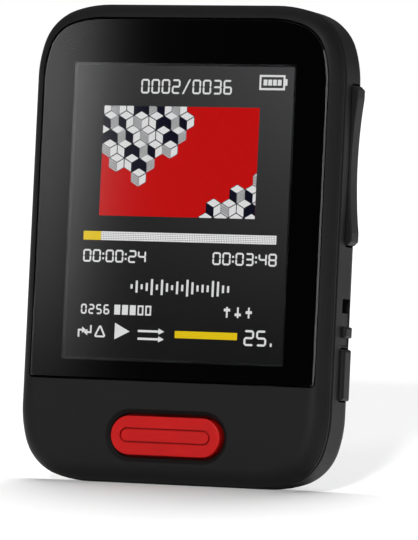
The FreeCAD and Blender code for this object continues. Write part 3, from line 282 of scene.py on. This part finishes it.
# %% Metals
def metal(colour, roughness, line):
    """Builds a drawn metal with lines of that width along Z."""

    def build(g):
        stretch = g.node("ShaderNodeMapping", None, {"Vector": g.place(), "Scale": (1.0, 1.0, 0.08)})
        lines = g.noise(stretch, line, detail=4.0, roughness=0.7)
        return {
            "Base Color": g.mix(lines, shade(colour, 0.85), shade(colour, 1.0)),
            "Metallic": 1.0,
            "Roughness": roughness + (lines - 0.5) * 0.15,
            "Normal": g.bump(lines, 0.004 * MM),
        }

    return build


steel = finish("steel", metal((0.56, 0.56, 0.57), 0.30, 0.08 * MM))
tin_plate = finish("tin_plate", metal((0.70, 0.70, 0.68), 0.38, 0.15 * MM))
pouch_silver = finish("pouch_silver", metal((0.62, 0.63, 0.65), 0.42, 0.9 * MM))


# %% Circuit board
def board(g):
    place = g.place()
    patches = g.noise(place, 3 * MM, detail=1.0).rise(0.48, 0.52)
    tracks = g.axis(place, "X").off_centre(0.8 * MM).rise(0.36, 0.40) * patches
    crossings = g.axis(place, "Z").off_centre(2.4 * MM).rise(0.45, 0.47) * (1 - patches)
    copper = (tracks + crossings).clamped()
    return {
        "Base Color": g.mix(copper, (0.004, 0.055, 0.022, 1), (0.012, 0.13, 0.05, 1)),
        "Roughness": 0.34 + copper * 0.08,
        "Normal": g.bump(copper, 0.02 * MM),
    }


board_green = finish("board_green", board)

# %% Plain mouldings and films
# colour, size of the blotches, roughness, gloss level
plain = {
    "lcd_glass": ((0.010, 0.011, 0.013), 3 * MM, 0.12, 0.5),
    "light_guide": ((0.78, 0.79, 0.80), 1 * MM, 0.45, 0.4),
    "foam_grey": ((0.06, 0.06, 0.065), 0.25 * MM, 0.95, 0.1),
    "flex_amber": ((0.45, 0.16, 0.02), 0.6 * MM, 0.35, 0.5),
    "connector_ivory": ((0.62, 0.58, 0.48), 0.3 * MM, 0.5, 0.4),
    "chip_black": ((0.016, 0.016, 0.017), 0.12 * MM, 0.6, 0.4),
    "tape_white": ((0.72, 0.72, 0.70), 0.3 * MM, 0.8, 0.2),
    "lead_red": ((0.50, 0.015, 0.012), 0.3 * MM, 0.4, 0.5),
    "switch_grey": ((0.09, 0.09, 0.095), 0.2 * MM, 0.5, 0.4),
    "plunger_white": ((0.66, 0.66, 0.64), 0.3 * MM, 0.5, 0.4),
    "socket_black": ((0.013, 0.013, 0.014), 0.12 * MM, 0.45, 0.4),
    "pad_rubber": ((0.020, 0.020, 0.021), 0.2 * MM, 0.85, 0.2),
}
finishes = {name: finish(name, matt(*values)) for name, values in plain.items()}
for material in (case_black, key_black, button_red, window_clear, ink_black, tape_black,
                 steel, tin_plate, pouch_silver, board_green):
    finishes[material.name] = material
print(len(finishes), "finishes")

# %% [markdown]
# ## Dressing the frame
# The record of the part already says which finish each sub-part takes. Swapping the material in each
# node's slot dresses the whole frame in one loop, and nothing is moved or reshaped.

# %% Give every node its finish
for name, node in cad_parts.items():
    node.material_slots[0].material = finishes[slot_of[name]]
print(len(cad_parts), "sub-parts dressed")

# %% [markdown]
# ## The lit panel
# Behind the window sits a colour panel of 128 by 160 dots. The picture on it could be a texture, but
# geometry stays sharp at any distance, so every sign is a tile a hundredth of a millimetre thick that
# lies on the glass. Places are counted in the panel's own dots, across from its left and down from its top.

# %% Where the dots are
DOT = 0.219 * MM
DOTS_ACROSS, DOTS_DOWN = 128, 160
GLASS_BELOW = 1.4 * MM          # glass under the lit area
GLASS_AIR = 0.002 * MM          # from the glass to the back of the picture
LAYER = 0.012 * MM              # step from one layer of the picture to the next
TILE = 0.008 * MM               # thickness of a tile

glass_low, glass_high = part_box("lcd_panel")
lit_left = (glass_low.x + glass_high.x) / 2 - DOTS_ACROSS * DOT / 2
lit_top = glass_low.z + GLASS_BELOW + DOTS_DOWN * DOT
print("lit area", round(DOTS_ACROSS * DOT / MM, 2), "by", round(DOTS_DOWN * DOT / MM, 2), "mm")


def on_panel(across, down, layer):
    """The point of the panel at that dot, on the back of that layer."""
    depth = glass_low.y - GLASS_AIR - layer * LAYER
    return Vector((lit_left + across * DOT, depth, lit_top - down * DOT))


# %% [markdown]
# A tile is a few corner points, one face and an extrusion towards the viewer. All tiles of one colour
# and layer are drawn into the same mesh, so the picture is a handful of pieces and not a thousand.

# %% Tiles of one colour
class Layer:
    """The tiles of one colour on one layer of the picture."""

    def __init__(self, name, layer):
        self.name = name
        self.layer = layer
        self.bm = bmesh.new()

    def tile(self, corners):
        points = [self.bm.verts.new(on_panel(*corner, self.layer)) for corner in corners]
        face = self.bm.faces.new(points)
        swept = bmesh.ops.extrude_face_region(self.bm, geom=[face])["geom"]
        moved = [part for part in swept if isinstance(part, bmesh.types.BMVert)]
        bmesh.ops.translate(self.bm, verts=moved, vec=(0, -TILE, 0))

    def block(self, left, top, width, height):
        right, low = left + width, top + height
        self.tile([(left, top), (left, low), (right, low), (right, top)])

    def frame_of(self, left, top, width, height, stroke=1.0):
        self.block(left, top, width, stroke)
        self.block(left, top + height - stroke, width, stroke)
        self.block(left, top + stroke, stroke, height - 2 * stroke)
        self.block(left + width - stroke, top + stroke, stroke, height - 2 * stroke)

    def stroke(self, start, end, width=1.0):
        """A bar with pointed ends, so that two of them meet in a cut corner."""
        run = Vector(end) - Vector(start)
        along = run.normalized() * width / 2
        side = Vector((-along.y, along.x))
        a, b = Vector(start), Vector(end)
        self.tile([a, a + along + side, b - along + side, b, b - along - side, a + along - side])

    def finish(self, material, slot, cut=None):
        for point, away in cut or []:
            parts = [*self.bm.verts, *self.bm.edges, *self.bm.faces]
            bmesh.ops.bisect_plane(self.bm, geom=parts, plane_co=point, plane_no=away, clear_outer=True)
        bmesh.ops.recalc_face_normals(self.bm, faces=self.bm.faces)
        return add_piece(self.name, self.bm, material, "housing")


# %% Turn a finished bmesh into a piece
def add_piece(name, bm, material, body):
    mesh = bpy.data.meshes.new(name)
    bm.to_mesh(mesh)
    bm.free()
    piece = bpy.data.objects.new(name, mesh)
    scene.collection.objects.link(piece)
    mesh.materials.append(material)
    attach(piece, body)
    print(name, len(mesh.polygons), "faces")
    return piece


# %% [markdown]
# ## Light from the panel
# A panel of this kind glows. Its black is a dark grey that pales towards the top and the right, a painted
# sheen that stands in for light reflected on the window over it, and each dot has a thin dark border. Both
# feed only the emission colour, with the strength left at 1 so that a colour shines as it is written.

# %% Emission in dots
def glowing(colour):
    """The values of a dot that shines in that colour and reflects next to nothing."""
    return {
        "Base Color": grey(0.001),
        "Roughness": 0.5,
        "Specular IOR Level": 0.0,
        "Emission Color": colour,
        "Emission Strength": 1.0,
    }


def in_dots(g):
    """How far a point is across and down the lit area, in metres."""
    place = g.place()
    return g.axis(place, "X") - lit_left, lit_top - g.axis(place, "Z")


def lit(colour, border=0.25, start=0.34):
    """Builds a dot colour; its border is that much darker, and starts that far from the dot's middle."""

    def build(g):
        across, down = in_dots(g)
        gap = across.off_centre(DOT).at_least(down.off_centre(DOT)).rise(start, 0.5)
        return glowing(g.mix(gap, shade(colour, 1.0), shade(colour, 1 - border)))

    return build


# The ground's glow carries a painted sheen, paler towards the top and the right.
def panel_black_painted_sheen(g):
    across, down = in_dots(g)
    share_down, share_across = down / (DOTS_DOWN * DOT), across / (DOTS_ACROSS * DOT)
    # painted sheen: the glow grows paler towards the top and the right, standing in for light reflected on
    # the window
    painted_sheen = ((1 - share_down).clamped() ** 1.3) * (0.25 + share_across * 0.78)
    return glowing(g.mix(painted_sheen, grey(0.0070), (0.058, 0.058, 0.060, 1)))


glow_ground = finish("glow_ground", panel_black_painted_sheen)
glow_white = finish("glow_white", lit((0.80, 0.80, 0.80)))
glow_bar = finish("glow_bar", lit((1.0, 1.0, 1.0), 0.9, 0.28))
glow_yellow = finish("glow_yellow", lit((0.84, 0.60, 0.008), 0.35))
glow_red = finish("glow_red", lit((0.53, 0.003, 0.003), 0.05))
glow_navy = finish("glow_navy", lit((0.003, 0.003, 0.012), 0.0))

# %% The dark ground of the picture
ground = Layer("picture_ground", 0)
ground.block(0, 0, DOTS_ACROSS, DOTS_DOWN)
ground.finish(glow_ground, "lcd_glass")

# %% [markdown]
# ## Plain numbers
# The counter, the two times and the loudness are plain numbers. Their digits are drawn like those of a
# pocket calculator, from seven strokes that are either on or off, which needs only one short word for
# each digit.

# %% Seven strokes
STROKES = {
    "top": ((0, 0), (1, 0)), "high_left": ((0, 0), (0, 0.5)), "high_right": ((1, 0), (1, 0.5)),
    "middle": ((0, 0.5), (1, 0.5)), "low_left": ((0, 0.5), (0, 1)), "low_right": ((1, 0.5), (1, 1)),
    "low": ((0, 1), (1, 1)),
}
COLON_DOT, COLON_HIGH, COLON_LOW = 1.1, 0.25, 0.62     # its dots, and their places down its height
OFF = {
    "0": ["middle"], "1": ["top", "high_left", "middle", "low_left", "low"], "2": ["high_left", "low_right"],
    "3": ["high_left", "low_left"], "4": ["top", "low_left", "low"], "5": ["high_right", "low_left"],
    "6": ["high_right"], "7": ["high_left", "middle", "low_left", "low"], "8": [], "9": ["low_left"],
}


def write_number(layer, text, left, top, width, height, step, stroke=1.0):
    """Draws digits, colons and slashes; step is from one digit to the next."""
    wide, tall = width - stroke, height - stroke
    for sign in text:
        x, y = left + stroke / 2, top + stroke / 2
        if sign == ":":
            for share in (COLON_HIGH, COLON_LOW):
                layer.block(left, top + height * share, COLON_DOT, COLON_DOT)
            left += COLON_DOT + step - width
        elif sign == "/":
            low = top + height
            layer.tile([(left + wide, top), (left, low), (left + stroke, low), (left + width, top)])
            left += step
        else:
            for name, (start, end) in STROKES.items():
                if name not in OFF[sign]:
                    layer.stroke((x + start[0] * wide, y + start[1] * tall),
                                 (x + end[0] * wide, y + end[1] * tall), stroke)
            left += step


# %% Counter, times and loudness
white = Layer("picture_white", 1)
write_number(white, "0002/0036", 38.3, 7.3, 5.0, 8.0, 6.08)
write_number(white, "00:00:24", 8.4, 101.0, 4.9, 7.0, 5.75)
write_number(white, "00:03:48", 85.2, 100.8, 4.9, 7.0, 5.75)
write_number(white, "0256", 8.6, 131.0, 3.5, 5.5, 4.5, 0.9)
write_number(white, "25", 105.6, 142.4, 6.0, 8.6, 7.2, 1.15)
white.block(121.0, 149.2, 1.1, 1.8)      # the mark after the loudness
print(len(white.bm.faces), "faces in the numbers")

# %% [markdown]
# ## Signs
# The other signs are the common ones of any player: a battery with four cells, a repeat loop, the play
# triangle, two arrows for play in order, a level strip where a title would stand, a small meter and
# three sliders for the tone, with a small triangle beside the loop. None of them is lettering.

# %% Battery, play and arrows
def arrow(layer, left, right, down, shaft, head):
    layer.block(left, down - shaft / 2, right - head - left, shaft)
    layer.tile([(right - head, down - head / 2), (right - head, down + head / 2), (right, down)])


CELLS, CELL_STEP = 4, 2.75
white.frame_of(107.9, 4.3, 15.0, 8.2, 1.1)                      # battery case
white.block(122.9, 6.4, 1.3, 3.6)                               # and its terminal
for cell in range(CELLS):
    white.block(110.3 + CELL_STEP * cell, 6.8, 2.2, 3.2)
white.tile([(29.4, 140.9), (29.4, 149.9), (38.3, 145.4)])       # play
small_triangle = [(17.6, 148.6), (20.6, 142.6), (23.6, 148.6)]
for start, end in zip(small_triangle, small_triangle[1:] + small_triangle[:1]):
    white.stroke(start, end)
for down in (144.9, 149.1):
    arrow(white, left=43.2, right=58.8, down=down, shaft=1.2, head=3.4)


# %% Repeat loop
def repeat_loop(layer, left, top, width, height, stroke=1.0):
    """A bar that bends into an arrow head, and the same once more, turned half round."""
    bend, head_half = 2.2, 1.8
    middle, reach = bend + stroke / 2, 0.35 * width
    head, tip = 0.3 * width, 0.58 * width
    half_loop = [
        [(0, bend), (0, height), (stroke, height), (stroke, bend)],
        [(0, bend), (0, bend + stroke), (reach, bend + stroke), (reach, bend)],
        [(head, middle - head_half), (head, middle + head_half), (tip, middle)],
    ]
    for corners in half_loop:
        layer.tile([(left + x, top + y) for x, y in corners])
        layer.tile([(left + width - x, top + height - y) for x, y in corners])


repeat_loop(white, 7.4, 142.6, 8.2, 6.6)

# %% Level strip, meter and sliders
STRIP_BARS, STRIP_STEP, STRIP_MIDDLE = 20, 3.0, 120.8
LOWEST_BAR, BEAT = 2.4, 7.6      # the lowest bar, and what the highest adds to it
for bar in range(STRIP_BARS):
    beat = abs(math.sin(1.9 * bar) * math.cos(0.55 * bar + 0.4))
    tall = LOWEST_BAR + BEAT * beat
    white.block(37.6 + STRIP_STEP * bar, STRIP_MIDDLE - tall / 2, 1.25, tall)
METER_BLOCKS, METER_FULL, METER_STEP = 5, 3, 4.6
for block in range(METER_BLOCKS):
    white.frame_of(28.6 + METER_STEP * block, 131.0, 3.5, 5.4, 0.9)
    if block < METER_FULL:
        white.block(28.6 + METER_STEP * block, 131.0, 3.5, 5.4)
SLIDER_STEP = 6.4
for slider, knob in enumerate((131.2, 133.6, 132.2)):
    white.block(94.6 + SLIDER_STEP * slider, 130.3, 1.0, 5.8)
    white.block(93.3 + SLIDER_STEP * slider, knob, 3.6, 1.5)
white.finish(glow_white, "lcd_glass")

# %% Bars
BAR_LEFT, BAR_TOP, BAR_WIDTH, BAR_HEIGHT, PLAYED = 8.1, 91.1, 114.0, 4.8, 10.5
track_bar = Layer("picture_bar", 1)
track_bar.block(BAR_LEFT + PLAYED, BAR_TOP, BAR_WIDTH - PLAYED, BAR_HEIGHT)
track_bar.finish(glow_bar, "lcd_glass")
yellow = Layer("picture_yellow", 1)
yellow.block(BAR_LEFT, BAR_TOP, PLAYED, BAR_HEIGHT)
yellow.block(65.1, 144.2, 36.6, 3.9)     # loudness
yellow.finish(glow_yellow, "lcd_glass")

# %% [markdown]
# ## The cover picture
# The middle of the screen shows a picture in red, white and near-black. Here it is a plain pattern of
# stacked cubes, the oldest of tile patterns: three rhombs round a point make a cube, and cubes fill two
# corners of a red ground. Bands of hatching break up the white faces.

# %% Cubes
ART_LEFT, ART_TOP, ART_WIDTH, ART_HEIGHT = 16.8, 22.2, 92.0, 60.2
EDGE = 5.2                       # edge of a cube, in dots
TURN = math.radians(30)
SIDE = Vector((math.cos(TURN), math.sin(TURN))) * EDGE
DROP = Vector((0.0, EDGE))
LINE = 0.12                      # share of a rhomb that its dark outline takes
CUBE_ROWS, CUBES_IN_ROW = 9, 12
art_red = Layer("picture_red", 1)
art_red.block(ART_LEFT, ART_TOP, ART_WIDTH, ART_HEIGHT)
art_navy = Layer("picture_navy", 2)
art_white = Layer("picture_pattern", 3)


def rhomb(layer, corner, one, two, shrink=0.0):
    """A rhomb from a corner along two edges, drawn in by a share so that a dark line stays round it."""
    middle = corner + (one + two) / 2
    points = [corner, corner + one, corner + one + two, corner + two]
    layer.tile([middle + (point - middle) * (1 - shrink) for point in points])


def hatch(layer, corner, one, two, lines=4):
    """Lines along two, half as wide as their spacing."""
    for line in range(lines):
        start = corner + one * ((line + 0.25) / lines)
        rhomb(layer, start, one * (0.5 / lines), two)


def cube(centre, kind):
    """A dark cube with a white top; its kind says which of its sides are white or hatched."""
    left, right = Vector((-SIDE.x, -SIDE.y)), Vector((SIDE.x, -SIDE.y))
    for one, two in ((left, right), (left, DROP), (right, DROP)):
        rhomb(art_navy, centre, one, two)
    rhomb(art_white, centre, left, right, LINE)
    if kind == 1:
        hatch(art_white, centre, DROP, right)
    elif kind == 2:
        rhomb(art_white, centre, left, DROP, LINE)
    else:
        rhomb(art_white, centre, right, DROP, LINE)
    if kind == 3:
        hatch(art_white, centre, DROP, left)


def in_pattern(spot):
    """Whether a cube stands there: under a peak in the upper left, or below a slope in the lower right."""
    under_peak = spot.y < 66 - 0.85 * abs(spot.x - 36) and spot.x < 70
    below_slope = spot.y > 84 - 0.72 * (spot.x - 74)
    return under_peak or below_slope


cubes = 0
for row in range(CUBE_ROWS):
    for column in range(CUBES_IN_ROW):
        across = ART_LEFT + (2 * column + row % 2) * SIDE.x
        spot = Vector((across, ART_TOP + 1.5 * EDGE * row))
        if in_pattern(spot):
            cube(spot, (3 * column + 5 * row) % 4)
            cubes += 1
print(cubes, "cubes")

# %% Trim the pattern to the picture's edges
corner = on_panel(ART_LEFT, ART_TOP, 0)
far_corner = on_panel(ART_LEFT + ART_WIDTH, ART_TOP + ART_HEIGHT, 0)
trim = [(corner, (-1, 0, 0)), (corner, (0, 0, 1)), (far_corner, (1, 0, 0)), (far_corner, (0, 0, -1))]
art_red.finish(glow_red, "lcd_glass")
art_navy.finish(glow_navy, "lcd_glass", trim)
art_white.finish(glow_white, "lcd_glass", trim)

# %% [markdown]
# ## A plain studio
# The player stands on a white floor that falls away gently towards the viewer and rises gently behind,
# so that the low camera still sees the soft shadow at its foot. The floor is only white paint, and its
# shadow is the light's own.

# %% Floor
FLOOR_SIZE = 1.2
FLOOR_CELLS = 160                # along each side
CROWDING = 1.5                   # how strongly the cells crowd towards the player
FLAT_HALF = 2.6 * MM             # half of the flat strip under the player
EASE = 4 * MM                    # how gently the slopes start
FALL, RISE = math.tan(math.radians(8.0)), math.tan(math.radians(9.0))


def eased(distance):
    """Grows like distance, but starts gently."""
    return distance * distance / (distance + EASE) if distance > 0 else 0.0


bm = bmesh.new()
bmesh.ops.create_grid(bm, x_segments=FLOOR_CELLS, y_segments=FLOOR_CELLS, size=FLOOR_SIZE / 2)
for vert in bm.verts:
    vert.co = vert.co * (vert.co.length / (FLOOR_SIZE / 2)) ** CROWDING
    vert.co.z = RISE * eased(vert.co.y - FLAT_HALF) - FALL * eased(-vert.co.y - FLAT_HALF)
for face in bm.faces:
    face.smooth = True
floor_mesh = bpy.data.meshes.new("floor")
bm.to_mesh(floor_mesh)
bm.free()
floor = bpy.data.objects.new("floor", floor_mesh)
scene.collection.objects.link(floor)


def paper():
    material = bpy.data.materials.new("floor_paper")
    g = Graph(material)
    white_paper = g.node("ShaderNodeBsdfDiffuse", None, {"Color": grey(0.85)})
    g.node("ShaderNodeOutputMaterial", None, {"Surface": white_paper})
    return material


floor_mesh.materials.append(paper())
heights = [vert.co.z / MM for vert in floor_mesh.vertices]
print("floor from", round(min(heights)), "to", round(max(heights)), "mm high")

# %% [markdown]
# ## Light
# Two far lamps do most of the work: a small one low in front, which draws the shadow, and a broad one
# high behind, a little to the left. The room gives the rest. It is dark in front of the player, so that
# the glossy window stays black, with a tall soft panel at the left whose edge fades across the window
# and a lower one far to the right, and it is pale straight behind. What the camera sees of the room,
# itself or through the clear window alone, is plain white.

# %% Lamps
def sun(name, left, height, strength, softness):
    """A far lamp: degrees left of straight ahead, degrees up, strength, and how wide it looks."""
    lamp = bpy.data.lights.new(name, "SUN")
    lamp.energy = strength
    lamp.angle = math.radians(softness)
    holder = bpy.data.objects.new(name, lamp)
    turn, lift = math.radians(left), math.radians(height)
    towards = Vector((-math.sin(turn) * math.cos(lift), -math.cos(turn) * math.cos(lift), math.sin(lift)))
    holder.rotation_euler = towards.to_track_quat("Z", "Y").to_euler()
    scene.collection.objects.link(holder)
    print(name, "shines from", [round(v, 2) for v in towards])
    return holder


sun("front_lamp", left=-10, height=20, strength=2.15, softness=7)
top_lamp = sun("top_lamp", left=157, height=68, strength=3.0, softness=42)
top_lamp.visible_glossy = False       # it leaves no highlight, like a lamp behind crossed polarisers


# %% Room
VIEW_TURN = math.radians(22.895)      # how far the camera stands to the right of straight ahead
DARK_TURN = math.radians(20)          # how far the darkest part of the room is to the left of it
PANEL_EDGE, PANEL_FADE = 24.9, 2.7    # degrees left where the left panel ends, and how fast it fades there
WALLS, LEFT_WALL, BEHIND = 0.16, 0.05, 0.6
LEFT_PANEL, RIGHT_PANEL = 1.95, 2.0


def build_room():
    world = bpy.data.worlds.new("room")
    scene.world = world
    g = Graph(world)
    heading = g.node("ShaderNodeTexCoord", out="Generated")
    ahead, aside, height = g.axis(heading, "Y"), g.axis(heading, "X"), g.axis(heading, "Z")
    to_left = aside.maths("ARCTAN2", 0 - aside, 0 - ahead) * (180 / math.pi)
    upwards = height.maths("ARCSINE", height) * (180 / math.pi)

    short = (PANEL_EDGE - to_left).at_least(0.0)
    edge = (short * short * -PANEL_FADE).exponential()
    left_panel = edge * to_left.rise(46, 32) * upwards.between(0.4, 4.4, 45, 60)
    right_panel = to_left.between(-80, -74, -60, -56) * upwards.between(-12, -6, 24, 32)
    darkest = Vector((-math.sin(DARK_TURN), -math.cos(DARK_TURN), 0.05)).normalized()
    away = Vector((-math.sin(VIEW_TURN), math.cos(VIEW_TURN), 0.0))
    walls = g.likeness(heading, darkest).rise(0.97, 0.5) * WALLS + to_left.rise(18, 25) * LEFT_WALL
    behind = g.likeness(heading, away).rise(0.96, 0.985) * BEHIND
    room = walls + behind + left_panel * LEFT_PANEL + right_panel * RIGHT_PANEL

    outputs = ("Is Camera Ray", "Is Transmission Ray", "Diffuse Depth", "Glossy Depth")
    ray = {name: g.node("ShaderNodeLightPath", out=name) for name in outputs}
    straight = (1 - ray["Diffuse Depth"] - ray["Glossy Depth"]).clamped()
    seen = ray["Is Camera Ray"].at_least(ray["Is Transmission Ray"] * straight)
    strength = room * (1 - seen) + seen
    light = g.node("ShaderNodeBackground", None, {"Color": grey(1.0), "Strength": strength})
    g.node("ShaderNodeOutputWorld", None, {"Surface": light})
    print("room of", len(g.tree.nodes), "nodes")


build_room()

# %% [markdown]
# ## Camera
# The camera looks a little upwards from the player's right-hand side, from more than half a metre away
# through a long lens, so that the upright edges stay nearly parallel.

# %% Camera
camera_data = bpy.data.cameras.new("camera")
camera = bpy.data.objects.new("camera", camera_data)
scene.collection.objects.link(camera)
scene.camera = camera
camera_data.lens = 327.96             # millimetres, as is the sensor
camera_data.sensor_width = 36.0
camera_data.sensor_fit = "AUTO"
camera_data.clip_start, camera_data.clip_end = 0.05, 20.0
CAMERA_AT = Vector((0.230752, -0.540660, 0.001545))
PITCH, ROLL = math.radians(-2.369), math.radians(2.690)
level = math.cos(PITCH)
backward = Vector((math.sin(VIEW_TURN) * level, -math.cos(VIEW_TURN) * level, math.sin(PITCH)))
level_right = Vector((math.cos(VIEW_TURN), math.sin(VIEW_TURN), 0.0))
level_up = backward.cross(level_right)
right = math.cos(ROLL) * level_right + math.sin(ROLL) * level_up
up = math.cos(ROLL) * level_up - math.sin(ROLL) * level_right
turned = Matrix((right, up, backward)).transposed()
camera.matrix_world = Matrix.Translation(CAMERA_AT) @ turned.to_4x4()
scene.view_settings.view_transform = "Standard"
print("camera", round(CAMERA_AT.length / MM), "mm from the player")
